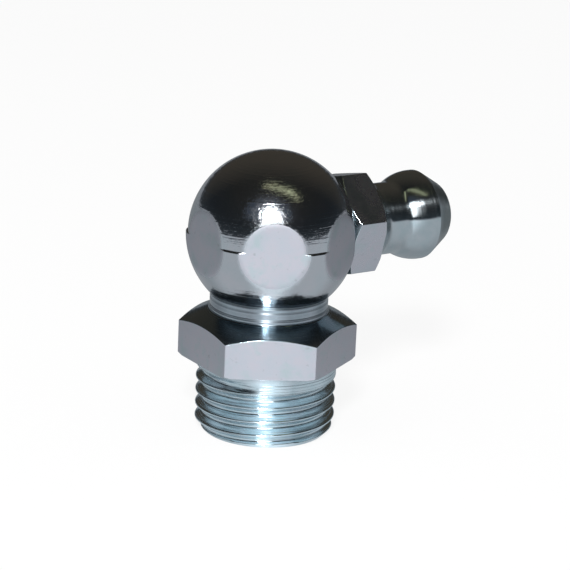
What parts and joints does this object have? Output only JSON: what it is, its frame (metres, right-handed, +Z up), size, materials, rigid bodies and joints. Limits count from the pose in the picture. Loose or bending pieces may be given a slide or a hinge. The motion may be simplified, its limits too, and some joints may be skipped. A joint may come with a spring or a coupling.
{
  "type": "grease nipple",
  "caption": "Right-angle hydraulic grease nipple: threaded hexagon shank, ball-shaped turning body and a sideways coupler head with a sprung ball check valve.",
  "frame": {"origin": "on the connecting thread's axis, in the underside of the body's hexagon, which is the face that seats on the machine", "axes": "+Z up the thread's axis to the ball, +X out along the coupler head, whose axis crosses the thread's axis 9.1 mm up"},
  "size_m": [0.0197, 0.0128, 0.0204],
  "materials": {
    "body_zinc": "bright bluish zinc plating over fine turning marks",
    "head_zinc": "bright bluish zinc plating, finely turned",
    "ball_steel": "polished hardened steel",
    "spring_steel": "drawn spring wire"
  },
  "bodies": {
    "fitting": {"angle_body": "body_zinc", "nipple_head": "head_zinc", "check_spring": "spring_steel"},
    "valve_ball": {"check_ball": "ball_steel"}
  },
  "joints": [
    {"name": "check_ball_slide", "type": "slide", "parent": "fitting", "child": "valve_ball", "axis": [-1, 0, 0], "range_m": [0, 0.001], "stiffness_N_per_m": 900, "deforming": ["check_spring"]}
  ]
}
